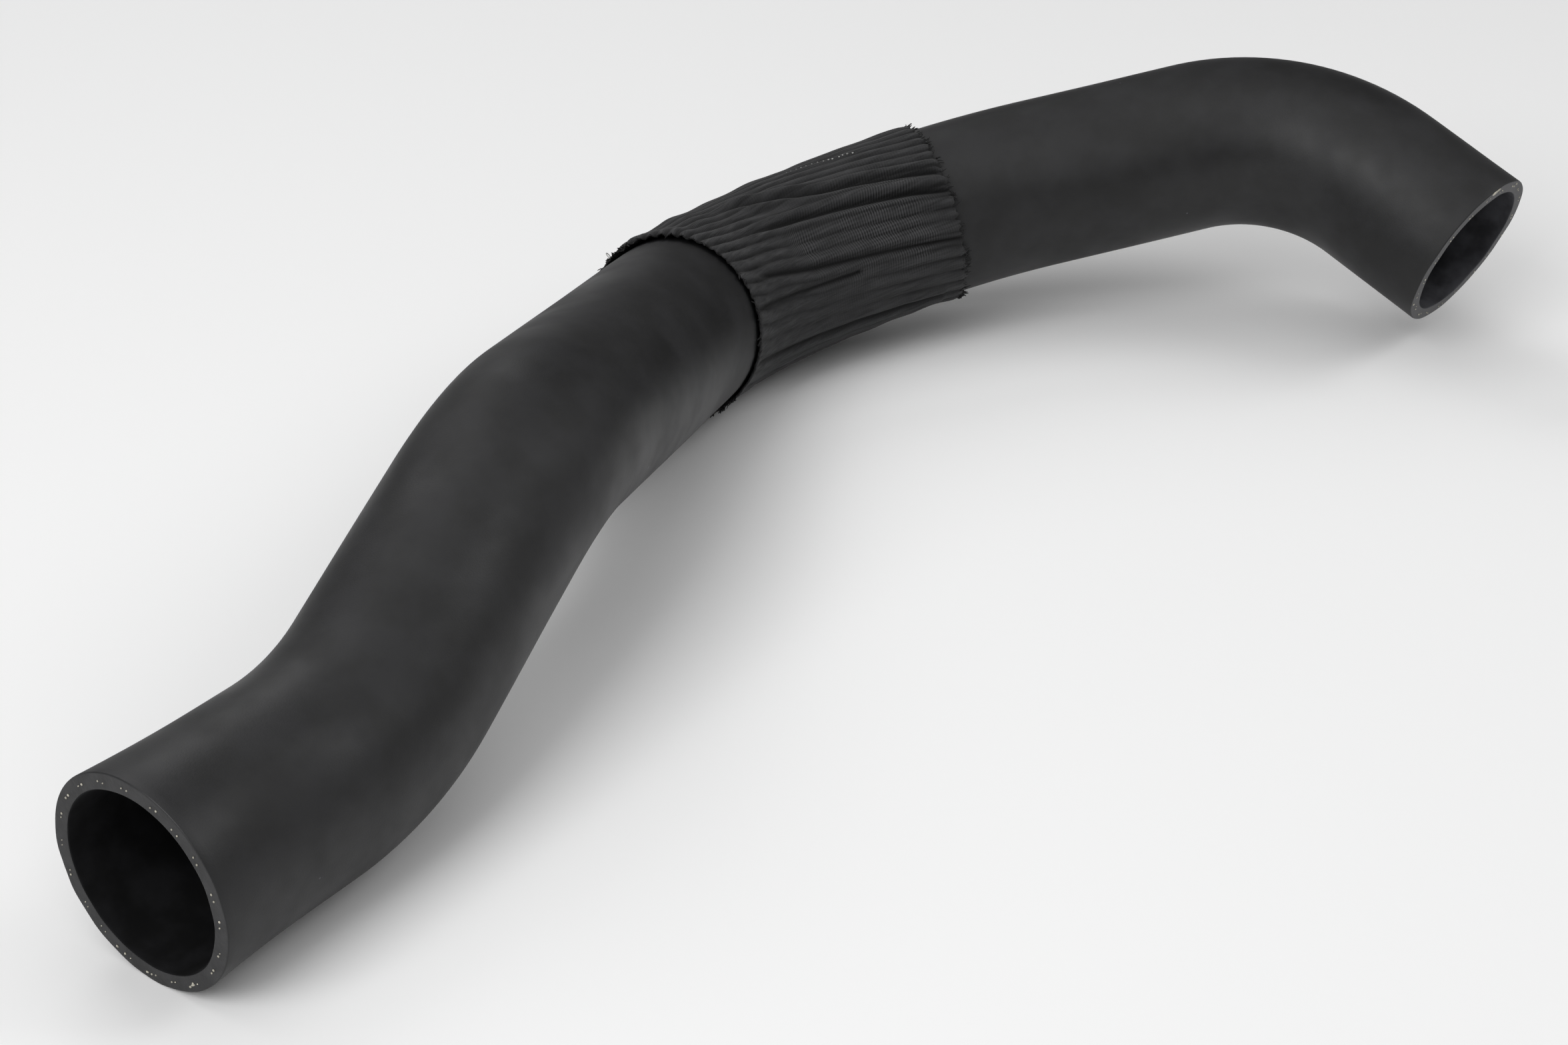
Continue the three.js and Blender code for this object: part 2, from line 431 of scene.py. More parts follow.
def strand(bm, points, radius):
    """A thin round thread through the points, narrower at its end."""
    heading = points[1] - points[0]
    place = Matrix.Translation(points[0]) @ Z_AXIS.rotation_difference(
        heading).to_matrix().to_4x4()
    ring = bmesh.ops.create_circle(
        bm, cap_ends=True, segments=THREAD_SIDES, radius=radius, matrix=place)["verts"]
    edges = ring_edges(ring)
    for last, point in zip(points, points[1:]):
        edges, ring = grow(bm, edges)
        ahead = point - last
        turn = heading.rotation_difference(ahead).to_matrix().to_4x4()
        bmesh.ops.transform(
            bm, verts=ring,
            matrix=Matrix.Translation(point) @ turn @ Matrix.Translation(-last))
        heading = ahead
    bmesh.ops.scale(bm, vec=(0.5, 0.5, 0.5), verts=ring, space=Matrix.Translation(-points[-1]))
    bmesh.ops.contextual_create(bm, geom=edges)


def angle_between(around, other):
    """How far one angle lies past another, the short way round."""
    return (around - other + math.pi) % math.tau - math.pi


def wander(along, around, size, seed):
    """Smooth noise from -1 to 1 over the hose's surface, without a seam."""
    reach = 30 * MM / size
    return noise.noise(
        Vector((math.cos(around) * reach, math.sin(around) * reach, along / size + seed)))


def wrap_uv(bm):
    """A UV map whose U is turns round the hose and whose V is metres along it."""
    uv = bm.loops.layers.uv.new("wrap")
    along = bm.verts.layers.float["along"]
    around = bm.verts.layers.float["around"]
    for face in bm.faces:
        turns = [loop.vert[around] / math.tau for loop in face.loops]
        seam = max(turns) - min(turns) > 0.5
        for loop, turn in zip(face.loops, turns):
            loop[uv].uv = (turn + 1 if seam and turn < 0.5 else turn, loop.vert[along])


def make_piece(bm, name, slot, *materials, smooth=True):
    """Turns a finished bmesh into a piece that lies with the hose."""
    for face in bm.faces:
        face.smooth = smooth
    mesh = bpy.data.meshes.new(name)
    bm.to_mesh(mesh)
    bm.free()
    piece = bpy.data.objects.new(name, mesh)
    bpy.context.scene.collection.objects.link(piece)
    for material in materials:
        mesh.materials.append(material)
    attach(piece, "root")
    return piece


def fill_inputs(tree, node, inputs):
    """Sets a node's inputs, from values or from sockets to link."""
    for key, value in dict(inputs).items():
        if isinstance(value, bpy.types.NodeSocket):
            tree.links.new(value, node.inputs[key])
        else:
            node.inputs[key].default_value = value


def add_node(tree, kind, inputs=(), **settings):
    """Adds a node with its settings and inputs."""
    made = tree.nodes.new(kind)
    for key, value in settings.items():
        setattr(made, key, value)
    fill_inputs(tree, made, inputs)
    return made


def new_group(name, inputs, outputs):
    """A shader node group. Inputs are (name, kind, default), outputs are (name, kind)."""
    tree = bpy.data.node_groups.new(name, "ShaderNodeTree")
    for label, kind, default in inputs:
        socket = tree.interface.new_socket(name=label, in_out="INPUT", socket_type=kind)
        if default is not None:
            socket.default_value = default
    for label, kind in outputs:
        tree.interface.new_socket(name=label, in_out="OUTPUT", socket_type=kind)
    return tree, tree.nodes.new("NodeGroupInput").outputs, tree.nodes.new("NodeGroupOutput").inputs


def patches_group():
    """Soft noise, stretched between two values: for sheen, smudges and colour drift."""
    tree, given, result = new_group(
        "soft_patches",
        (("Vector", "NodeSocketVector", None), ("Scale", "NodeSocketFloat", 20.0),
         ("Low", "NodeSocketFloat", 0.0), ("High", "NodeSocketFloat", 1.0)),
        (("Value", "NodeSocketFloat"),))
    cloud = add_node(tree, "ShaderNodeTexNoise", {
        "Vector": given["Vector"], "Scale": given["Scale"], "Detail": 3.0, "Roughness": 0.55})
    spread = add_node(tree, "ShaderNodeMapRange", {
        "Value": cloud.outputs["Fac"], "From Min": 0.32, "From Max": 0.68,
        "To Min": given["Low"], "To Max": given["High"]}, interpolation_type="SMOOTHSTEP")
    tree.links.new(spread.outputs["Result"], result["Value"])
    return tree


def specks_group():
    """Sparse round specks: Amount is the share of cells that hold one."""
    tree, given, result = new_group(
        "dust_specks",
        (("Vector", "NodeSocketVector", None), ("Scale", "NodeSocketFloat", 150.0),
         ("Amount", "NodeSocketFloat", 0.06), ("Size", "NodeSocketFloat", 0.12)),
        (("Mask", "NodeSocketFloat"),))
    cells = add_node(tree, "ShaderNodeTexVoronoi", {
        "Vector": given["Vector"], "Scale": given["Scale"], "Randomness": 1.0})
    draw = add_node(tree, "ShaderNodeSeparateColor", {"Color": cells.outputs["Color"]})
    chosen = add_node(tree, "ShaderNodeMath", {
        0: draw.outputs["Red"], 1: given["Amount"]}, operation="LESS_THAN")
    size = add_node(tree, "ShaderNodeMath", {
        0: draw.outputs["Green"], 1: given["Size"]}, operation="MULTIPLY")
    dot = add_node(tree, "ShaderNodeMath", {
        0: cells.outputs["Distance"], 1: size.outputs[0]}, operation="LESS_THAN")
    mask = add_node(tree, "ShaderNodeMath", {
        0: chosen.outputs[0], 1: dot.outputs[0]}, operation="MULTIPLY")
    tree.links.new(mask.outputs[0], result["Mask"])
    return tree


def grain_group():
    """Fine grain of rubber or of a saw cut, as a height."""
    tree, given, result = new_group(
        "surface_grain",
        (("Vector", "NodeSocketVector", None), ("Scale", "NodeSocketFloat", 2500.0),
         ("Depth", "NodeSocketFloat", 1.0)),
        (("Height", "NodeSocketFloat"),))
    fine = add_node(tree, "ShaderNodeTexNoise", {
        "Vector": given["Vector"], "Scale": given["Scale"], "Detail": 4.0, "Roughness": 0.6})
    depth = add_node(tree, "ShaderNodeMath", {
        0: fine.outputs["Fac"], 1: given["Depth"]}, operation="MULTIPLY")
    tree.links.new(depth.outputs[0], result["Height"])
    return tree


def knit_group():
    """Crosswise ribs of the knit, broken into stitches, and the streaks of its threads."""
    tree, given, result = new_group(
        "knit_ribs",
        (("UV", "NodeSocketVector", None), ("Ribs", "NodeSocketFloat", 900.0),
         ("Stitches", "NodeSocketFloat", 180.0)),
        (("Ribs", "NodeSocketFloat"), ("Streaks", "NodeSocketFloat")))
    axes = add_node(tree, "ShaderNodeSeparateXYZ", {"Vector": given["UV"]})
    waver = add_node(tree, "ShaderNodeTexNoise", {
        "Vector": given["UV"], "Scale": 9.0, "Detail": 2.0})
    rib_turn = add_node(tree, "ShaderNodeMath", {
        0: axes.outputs["Y"], 1: given["Ribs"]}, operation="MULTIPLY")
    wavered = add_node(tree, "ShaderNodeMath", {
        0: waver.outputs["Fac"], 1: 5.0, 2: rib_turn.outputs[0]}, operation="MULTIPLY_ADD")
    rib_angle = add_node(tree, "ShaderNodeMath", {
        0: wavered.outputs[0], 1: math.tau}, operation="MULTIPLY")
    rib = add_node(tree, "ShaderNodeMath", {0: rib_angle.outputs[0]}, operation="SINE")
    column_turn = add_node(tree, "ShaderNodeMath", {
        0: axes.outputs["X"], 1: given["Stitches"]}, operation="MULTIPLY")
    column_angle = add_node(tree, "ShaderNodeMath", {
        0: column_turn.outputs[0], 1: math.tau}, operation="MULTIPLY")
    column = add_node(tree, "ShaderNodeMath", {0: column_angle.outputs[0]}, operation="SINE")
    stitch = add_node(tree, "ShaderNodeMath", {
        0: column.outputs[0], 1: 0.3, 2: rib.outputs[0]}, operation="MULTIPLY_ADD")
    ribs = add_node(tree, "ShaderNodeMapRange", {
        "Value": stitch.outputs[0], "From Min": -1.3, "From Max": 1.3})
    along = add_node(tree, "ShaderNodeVectorMath", {
        0: given["UV"], 1: (150.0, 70.0, 0.0)}, operation="MULTIPLY")
    streak = add_node(tree, "ShaderNodeTexNoise", {
        "Vector": along.outputs["Vector"], "Scale": 1.0, "Detail": 4.0, "Roughness": 0.65})
    streaks = add_node(tree, "ShaderNodeMapRange", {
        "Value": streak.outputs["Fac"], "From Min": 0.3, "From Max": 0.7})
    tree.links.new(ribs.outputs["Result"], result["Ribs"])
    tree.links.new(streaks.outputs["Result"], result["Streaks"])
    return tree


def outlet_group():
    """How near the outlet a place is: 1 at its mouth, 0 from its pale reach inwards."""
    tree, given, result = new_group(
        "near_outlet",
        (("UV", "NodeSocketVector", None), ("Length", "NodeSocketFloat", OUTLET_PALE_REACH)),
        (("Mask", "NodeSocketFloat"),))
    axes = add_node(tree, "ShaderNodeSeparateXYZ", {"Vector": given["UV"]})
    inner = add_node(tree, "ShaderNodeMath", {
        0: route.length, 1: given["Length"]}, operation="SUBTRACT")
    mask = add_node(tree, "ShaderNodeMapRange", {
        "Value": axes.outputs["Y"], "From Min": inner.outputs[0], "From Max": route.length})
    tree.links.new(mask.outputs["Result"], result["Mask"])
    return tree


def group_node(tree, group, inputs):
    """Places a node group in a material with its own values."""
    made = tree.nodes.new("ShaderNodeGroup")
    made.node_tree = bpy.data.node_groups[group]
    fill_inputs(tree, made, inputs)
    return made


def mix_colours(tree, mask, under, over):
    """One colour over another, where the mask says."""
    return add_node(
        tree, "ShaderNodeMix", {"Factor": mask, "A": under, "B": over}, data_type="RGBA")


def opaque(colour, shade=1.0):
    """A colour with its alpha, made lighter or darker."""
    return (*(channel * shade for channel in colour), 1.0)


def start_material(name):
    """A new material with its shader, and the piece's own coordinates."""
    material = bpy.data.materials.new(name)
    material.use_nodes = True
    tree = material.node_tree
    shader = tree.nodes["Principled BSDF"]
    place = add_node(tree, "ShaderNodeTexCoord").outputs["Object"]
    return material, tree, shader, place


def rubber_material(colour):
    """Matte moulded rubber with a drifting sheen, faint smudges and a little dust."""
    material, tree, shader, place = start_material("moulded_rubber")
    sheen = group_node(tree, "soft_patches", {
        "Vector": place, "Scale": 28.0, "Low": 0.46, "High": 0.62})
    smudge = group_node(tree, "soft_patches", {
        "Vector": place, "Scale": 60.0, "Low": 0.0, "High": 1.0})
    drift = mix_colours(tree, smudge.outputs["Value"], opaque(colour, 0.6), opaque(colour, 1.7))
    specks = group_node(tree, "dust_specks", {
        "Vector": place, "Scale": 140.0, "Amount": 0.05, "Size": 0.10})
    dusty = mix_colours(tree, specks.outputs["Mask"], drift.outputs["Result"], opaque(colour, 11.0))
    grain = group_node(tree, "surface_grain", {"Vector": place, "Scale": 1800.0, "Depth": 1.0})
    bump = add_node(tree, "ShaderNodeBump", {
        "Height": grain.outputs["Height"], "Strength": 0.22, "Distance": 0.0002})
    tree.links.new(sheen.outputs["Value"], shader.inputs["Roughness"])
    tree.links.new(dusty.outputs["Result"], shader.inputs["Base Color"])
    tree.links.new(bump.outputs["Normal"], shader.inputs["Normal"])
    return material


def cut_material(colour):
    """Sawn rubber: lighter and duller than the skin, with a painted highlight over the outlet's
    face.
    """
    material, tree, shader, place = start_material("cut_rubber")
    drift = group_node(tree, "soft_patches", {
        "Vector": place, "Scale": 160.0, "Low": 0.0, "High": 1.0})
    colours = mix_colours(
        tree, drift.outputs["Value"], opaque(colour, 0.8), opaque(colour, 1.2))
    uv = add_node(tree, "ShaderNodeUVMap", uv_map="wrap")
    outlet = group_node(tree, "near_outlet", {"UV": uv.outputs["UV"]})
    # Painted highlight: the outlet's cut face is made three times paler
    colours = mix_colours(
        tree, outlet.outputs["Mask"], colours.outputs["Result"], opaque(colour, 3.0))
    grain = group_node(tree, "surface_grain", {"Vector": place, "Scale": 900.0, "Depth": 1.0})
    bump = add_node(tree, "ShaderNodeBump", {
        "Height": grain.outputs["Height"], "Strength": 0.5, "Distance": 0.0003})
    shader.inputs["Roughness"].default_value = 0.75
    tree.links.new(colours.outputs["Result"], shader.inputs["Base Color"])
    tree.links.new(bump.outputs["Normal"], shader.inputs["Normal"])
    return material


def bore_material(colour):
    """The bore's skin: duller than the outside, smeared, and painted paler towards the outlet
    mouth.
    """
    material, tree, shader, place = start_material("bore_rubber")
    smear = group_node(tree, "soft_patches", {
        "Vector": place, "Scale": 90.0, "Low": 0.0, "High": 1.0})
    colours = mix_colours(
        tree, smear.outputs["Value"], opaque(colour, 0.4), opaque(colour, 1.5))
    outlet_pale = mix_colours(
        tree, smear.outputs["Value"], opaque(colour, 5.0), opaque(colour, 12.0))
    uv = add_node(tree, "ShaderNodeUVMap", uv_map="wrap")
    outlet = group_node(tree, "near_outlet", {"UV": uv.outputs["UV"]})
    colours = mix_colours(
        tree, outlet.outputs["Mask"], colours.outputs["Result"], outlet_pale.outputs["Result"])
    shader.inputs["Roughness"].default_value = 0.85
    shader.inputs["Specular IOR Level"].default_value = 0.2
    tree.links.new(colours.outputs["Result"], shader.inputs["Base Color"])
    return material


def yarn_material(name, colour):
    """Yarn ends, each a little different."""
    material, tree, shader, place = start_material(name)
    drift = group_node(tree, "soft_patches", {
        "Vector": place, "Scale": 400.0, "Low": 0.0, "High": 1.0})
    colours = mix_colours(
        tree, drift.outputs["Value"], opaque(colour, 0.6), opaque(colour, 1.1))
    shader.inputs["Roughness"].default_value = 0.85
    tree.links.new(colours.outputs["Result"], shader.inputs["Base Color"])
    return material


def knit_material(colour, rib_pitch):
    """Dark knit: streaked, ribbed in places, with painted light and shade on its ribs, a painted
    highlight on the pleats' tops, and painted shade between them and in the deep folds.
    """
    material, tree, shader, _ = start_material("sleeve_knit")
    uv = add_node(tree, "ShaderNodeUVMap", uv_map="wrap")
    knit = group_node(tree, "knit_ribs", {
        "UV": uv.outputs["UV"], "Ribs": 1 / rib_pitch, "Stitches": 150.0})
    streaked = mix_colours(
        tree, knit.outputs["Streaks"], opaque(colour, 0.6), opaque(colour, 1.4))
    ribbing = add_node(tree, "ShaderNodeAttribute", attribute_name="ribbed")
    # Painted light and shade on the ribs: their tops paler, the grooves between them darker
    ribbed = mix_colours(tree, knit.outputs["Ribs"], opaque(colour, 0.1), opaque(colour, 3.0))
    mixed = mix_colours(
        tree, ribbing.outputs["Fac"], streaked.outputs["Result"], ribbed.outputs["Result"])
    # The crest attribute is painted light: pale on the pleats' tops, dark in the valleys and deep
    # folds
    crest = add_node(tree, "ShaderNodeAttribute", attribute_name="crest")
    top = add_node(tree, "ShaderNodeMapRange", {
        "Value": crest.outputs["Fac"], "From Min": 0.5, "From Max": 1.0})
    # Painted highlight on the pleats' tops, broken by the streaks
    crest_highlight = add_node(tree, "ShaderNodeMath", {
        0: top.outputs["Result"], 1: knit.outputs["Streaks"]}, operation="MULTIPLY")
    crest_highlighted = mix_colours(tree, crest_highlight.outputs[0], mixed.outputs["Result"], opaque(colour, 3.2))
    # Painted shade in the valleys between the pleats and in the deep folds
    valley_shade = add_node(tree, "ShaderNodeMapRange", {
        "Value": crest.outputs["Fac"], "From Min": 0.5, "From Max": 0.0})
    shaded = mix_colours(
        tree, valley_shade.outputs["Result"], crest_highlighted.outputs["Result"], opaque(colour, 0.1))
    relief = add_node(tree, "ShaderNodeMath", {
        0: ribbing.outputs["Fac"], 1: knit.outputs["Ribs"],
        2: knit.outputs["Streaks"]}, operation="MULTIPLY_ADD")
    bump = add_node(tree, "ShaderNodeBump", {
        "Height": relief.outputs[0], "Strength": 0.9, "Distance": 0.0003})
    shader.inputs["Roughness"].default_value = 0.8
    shader.inputs["Specular IOR Level"].default_value = 0.2
    shader.inputs["Sheen Weight"].default_value = 0.06
    shader.inputs["Sheen Roughness"].default_value = 0.5
    tree.links.new(shaded.outputs["Result"], shader.inputs["Base Color"])
    tree.links.new(bump.outputs["Normal"], shader.inputs["Normal"])
    return material


class HOSE_OT_rubber(bpy.types.Operator):
    """Models the moulded rubber hose: skin, bore and the cut faces at both ends"""

    bl_idname = "charge_hose.rubber"
    bl_label = "Moulded hose"

    def execute(self, context):
        sizes = context.scene.hose_sizes
        colours = context.scene.hose_colours
        radius = sizes.bore / 2 + sizes.wall

        def flare(along):
            return sizes.mouth_flare * max(0.0, 1 - along / sizes.mouth_length) ** 2

        def from_ends(along):
            return min(1.0, along / SKIN_FADE, (route.length - along) / SKIN_FADE)

        bm = new_mesh()
        skin = sweep(bm, radius, HOSE_SIDES, stations(0, route.length, SKIN_STEP))
        bore = sweep(bm, sizes.bore / 2, HOSE_SIDES, stations(0, route.length, BORE_STEP))
        swell(bm, skin, lambda along, around: flare(along) + SKIN_WANDER * from_ends(along)
              * wander(along, around, SKIN_WAVELENGTH, 0))
        swell(bm, bore, lambda along, around: flare(along))

        rims = []
        for end in (0, -1):
            distance, outer = skin[end]
            middle = route.at(distance).translation
            start = ring_edges(outer)
            edges = start
            for loop in range(1, CUT_LOOPS + 1):
                edges, ring = grow(bm, edges)
                span = radius + flare(distance) - sizes.wall * loop / CUT_LOOPS
                share = span / (span + sizes.wall / CUT_LOOPS)
                bmesh.ops.scale(bm, vec=(share, share, share), verts=ring,
                                space=Matrix.Translation(-middle))
            mouth = bore[end][1]
            bmesh.ops.remove_doubles(bm, verts=ring + mouth, dist=WELD)
            rims += start + ring_edges([v for v in ring + mouth if v.is_valid])
        bmesh.ops.recalc_face_normals(bm, faces=bm.faces)
        bmesh.ops.bevel(bm, geom=rims, offset=sizes.edge_round, segments=3, profile=0.5,
                        affect="EDGES", material=-1)

        # The sawn faces are those that look along the hose
        for distance in (0, route.length):
            end = route.at(distance)
            for face in bm.faces:
                flat = abs((end.inverted() @ face.calc_center_median()).z) < 0.1 * MM
                if flat and abs(face.normal.dot(end.col[2].xyz)) > 0.8:
                    face.material_index = 1
        for vertex in bm.verts:
            if any(face.material_index for face in vertex.link_faces):
                vertex.co += vertex.normal * CUT_WANDER * noise.noise(vertex.co / CUT_WAVELENGTH)

        # The bore's faces are those that look towards the centreline
        along = bm.verts.layers.float["along"]
        for face in bm.faces:
            arm = face.calc_center_median() - route.at(face.verts[0][along]).translation
            if not face.material_index and face.normal.dot(arm) < -0.5 * arm.length:
                face.material_index = 2
        wrap_uv(bm)
        hose = make_piece(bm, "rubber_hose", "rubber", rubber_material(colours.rubber),
                          cut_material(colours.cut_rubber), bore_material(colours.rubber))
        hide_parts("moulded_hose")
        return {"FINISHED"}


class HOSE_OT_yarn_ends(bpy.types.Operator):
    """Sets pairs of yarn ends into both cut faces of the hose"""

    bl_idname = "charge_hose.yarn_ends"
    bl_label = "Yarn ends"

    def execute(self, context):
        sizes = context.scene.hose_sizes
        draw = random.Random(7)
        yarn = yarn_material("cut_yarn", context.scene.hose_colours.yarn)
        for name, distance, flare, out in (
                ("inlet_yarn_ends", 0, sizes.mouth_flare, -1),
                ("outlet_yarn_ends", route.length, 0, 1)):
            ring = sizes.bore / 2 + flare + 0.5 * sizes.wall
            pairs = round(math.tau * ring / YARN_PAIR_PITCH)
            bm = bmesh.new()
            for pair in range(pairs):
                middle = math.tau * (pair + draw.uniform(-0.12, 0.12)) / pairs
                for side in (-0.5, 0.5):
                    angle = middle + side * YARN_PAIR_GAP * draw.uniform(0.8, 1.3) / ring
                    reach = ring + draw.uniform(-0.4, 0.4) * MM
                    size = YARN_RADIUS * draw.uniform(0.6, 1.35)
                    place = Matrix.Translation(
                        (reach * math.cos(angle), reach * math.sin(angle), out * YARN_PROUD))
                    stub = Matrix.Diagonal((size, size, 2 * YARN_PROUD, 1))
                    bmesh.ops.create_icosphere(
                        bm, subdivisions=1, radius=1, matrix=route.at(distance) @ place @ stub)
            for angle, outward, length, width in YARN_PATCHES[name]:
                turn = Matrix.Rotation(math.radians(angle), 4, "Z")
                place = Matrix.Translation((ring + outward * MM, 0, out * YARN_PROUD))
                stub = Matrix.Diagonal((width * MM, length * MM, 2 * YARN_PROUD, 1))
                bmesh.ops.create_icosphere(
                    bm, subdivisions=2, radius=1,
                    matrix=route.at(distance) @ turn @ place @ stub)
            make_piece(bm, name, "knit", yarn)
        return {"FINISHED"}


class Relief:
    """How far the sleeve's knit stands off its base, at a distance along and angle around."""

    def __init__(self, scene):
        self.sizes = scene.sleeve_sizes
        hose = scene.hose_sizes
        self.base = hose.bore / 2 + hose.wall + self.sizes.clearance + self.sizes.thickness
        self.flank = math.radians(self.sizes.flank)

    def crest(self, along, around):
        """From 0 in a valley between two pleats to 1 on top of a pleat."""
        share = (along - self.sizes.start) / self.sizes.length
        angle = around - math.radians(self.sizes.twist) * share
        turn = angle
        for _ in range(CROWDING_ROUNDS):
            turn = angle + self.sizes.crowding * math.sin(turn - self.flank)
        drift = PLEAT_DRIFT * wander(along, around, *DRIFT_WAVES)
        return abs(math.sin(self.sizes.pleats * turn / 2 + drift)) ** PLEAT_ROUNDNESS

    def height(self, along, around):
        """How high the pleats stand here."""
        share = (along - self.sizes.start) / self.sizes.length
        near = math.exp(-abs(share) / NEAR_FADE)
        far = math.exp(-abs(1 - share) / FAR_FADE)
        off = around - self.flank
        facing = math.cos(SIDE_FADE * off) if abs(off) < math.pi / 2 else 0.0
        level = (PLEATS_ANYWHERE + PLEATS_ON_FLANK * facing
                 + near * (PLEATS_NEAR + PLEATS_NEAR_FLANK * facing ** 2) + far * PLEATS_FAR)
        uneven = 0.8 + 0.55 * wander(along, around, *HEIGHT_WAVES)
        return self.sizes.pleat_height * level * uneven

    def fold(self, along, around):
        """The deep folds here: the bulge beside them, and the share of relief they leave."""
        bulge, left = 0.0, 1.0
        here = along - self.sizes.start
        for lift, *points in FOLDS:
            if not points[0][0] * MM <= here <= points[-1][0] * MM:
                continue
            for (near, low), (far, high) in zip(points, points[1:]):
                if here <= far * MM:
                    break
            angle = math.radians(low + (high - low) * (here / MM - near) / (far - near))
            off = self.base * angle_between(around, angle)
            run = min(1.0, (here - points[0][0] * MM) / FOLD_RUN_IN)
            beside = math.exp(-((abs(off) - BULGE_PLACE) / BULGE_WIDTH) ** 2)
            uneven = 0.8 + 0.4 * wander(along, around, *BULGE_WAVES)
            bulge += run * lift * MM * beside * uneven
            left *= 1 - run * min(1.0, lift) * math.exp(-(off / FOLD_HALF_WIDTH) ** 2)
        return bulge, left

    def rise(self, along, around):
        """How far the knit stands off its base, with its folds and its edges."""
        bulge, left = self.fold(along, around)
        pleats = self.height(along, around) * self.crest(along, around)
        soft = SOFT_HEIGHT * (1 + wander(along, around, *SOFT_WAVES))
        edge = max(0.0, min(along - self.sizes.start,
                            self.sizes.start + self.sizes.length - along))
        at_lip = math.exp(-edge / LIP_FADE)
        return (pleats + bulge + soft) * left * (1 - 0.5 * at_lip) + self.sizes.lip_rise * at_lip

    def shade(self, along, around):
        """Painted light on the knit: 1 on the highest crests, 0.5 where it lies flat, 0 in a deep
        fold.
        """
        left = self.fold(along, around)[1]
        level = min(1.0, self.height(along, around) / self.sizes.pleat_height)
        return max(0.0, 0.5 + (self.crest(along, around) - FLAT_CREST) * level) * left

    def ribbed(self, along, around):
        """How plainly the knit's crosswise ribs show."""
        shown = RIBS_ANYWHERE
        for here, angle, reach in RIB_PATCHES:
            off = angle_between(around, math.radians(angle))
            away = math.hypot(along - self.sizes.start - here * MM, off * self.base)
            shown += (1 - RIBS_ANYWHERE) * math.exp(-(away / (reach * MM)) ** 2)
        return min(1.0, shown * (0.75 + 0.7 * wander(along, around, *RIB_WAVES)))

    def skew(self, along, around):
        """How far back the knit lies on the side where its near edge isn't square."""
        off = angle_between(around, math.radians(SKEW_SIDE))
        side = max(0.0, math.cos(SIDE_FADE * off))
        return NEAR_SKEW * side ** 2 * max(
            0.0, 1 - (along - self.sizes.start) / self.sizes.length)

    def point(self, along, around, lift=0.0):
        """A place on the knit, or a little above it."""
        reach = self.base + self.rise(along, around) + lift
        return route.at(along + self.skew(along, around)) @ Vector(
            (reach * math.cos(around), reach * math.sin(around), 0))


class HOSE_OT_sleeve(bpy.types.Operator):
    """Models the pleated knit sleeve over the elbow"""

    bl_idname = "charge_hose.sleeve"
    bl_label = "Knit sleeve"

    def execute(self, context):
        sizes = context.scene.sleeve_sizes
        relief = Relief(context.scene)
        bm = new_mesh()
        crest = bm.verts.layers.float.new("crest")
        ribbed = bm.verts.layers.float.new("ribbed")
        along = bm.verts.layers.float["along"]
        around = bm.verts.layers.float["around"]
        rings = sweep(bm, relief.base, SLEEVE_SIDES,
                      stations(sizes.start, sizes.start + sizes.length, SLEEVE_STEP))
        swell(bm, rings, relief.rise)
        # The crest layer holds painted light: a highlight on the pleats' tops, shade in valleys and
        # deep folds
        for vertex in bm.verts:
            vertex[crest] = relief.shade(vertex[along], vertex[around])
            vertex[ribbed] = relief.ribbed(vertex[along], vertex[around])
        for end, sign, ragged in ((0, -1, RAGGED_NEAR), (-1, 1, RAGGED_FAR)):
            slide(bm, rings[end][1], lambda s, a: sign * ragged * (
                relief.crest(s, a) - 0.5 + 1.2 * noise.noise(Vector((a * 25, sign * 5, 2)))))
        for _, ring in rings:
            slide(bm, ring, relief.skew)
        wrap_uv(bm)
        sleeve = make_piece(bm, "knit_sleeve", "knit",
                            knit_material(context.scene.hose_colours.knit, sizes.rib_pitch))
        wall = sleeve.modifiers.new("knit_wall", "SOLIDIFY")
        wall.thickness = sizes.thickness
        wall.offset = -1
        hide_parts("textile_sleeve")
        return {"FINISHED"}


class HOSE_OT_loose_threads(bpy.types.Operator):
    """Frays the sleeve's raw edges with short ends of thread"""

    bl_idname = "charge_hose.loose_threads"
    bl_label = "Loose threads"

    def execute(self, context):
        sizes = context.scene.sleeve_sizes
        relief = Relief(context.scene)
        draw = random.Random(11)
        bm = bmesh.new()
        for edge, sign in (("near", -1), ("far", 1)):
            start = sizes.start if edge == "near" else sizes.start + sizes.length
            places = [draw.uniform(0, math.tau) for _ in range(EDGE_THREADS[edge])]
            places += [math.radians(tuft + draw.gauss(0, TUFT_SPREAD))
                       for tuft in TUFTS[edge] for _ in range(TUFT_THREADS)]
            for around in places:
                reach = draw.uniform(0.5, 1.0) ** 2 * THREAD_REACH * MM
                lean = draw.uniform(-THREAD_LEAN, THREAD_LEAN) * MM / relief.base
                lift = draw.uniform(*THREAD_LIFT) * MM
                points = [
                    relief.point(start, around + lean * share ** 2,
                                 lift * share - THREAD_SINK)
                    + route.at(start).col[2].xyz * sign * reach * share
                    for share in THREAD_POINTS]
                strand(bm, points, THREAD_RADIUS * draw.uniform(0.7, 1.5))
        bmesh.ops.recalc_face_normals(bm, faces=bm.faces)
        make_piece(bm, "loose_threads", "knit",
                   yarn_material("sleeve_thread", [
                       0.35 * channel for channel in context.scene.hose_colours.knit]))
        return {"FINISHED"}


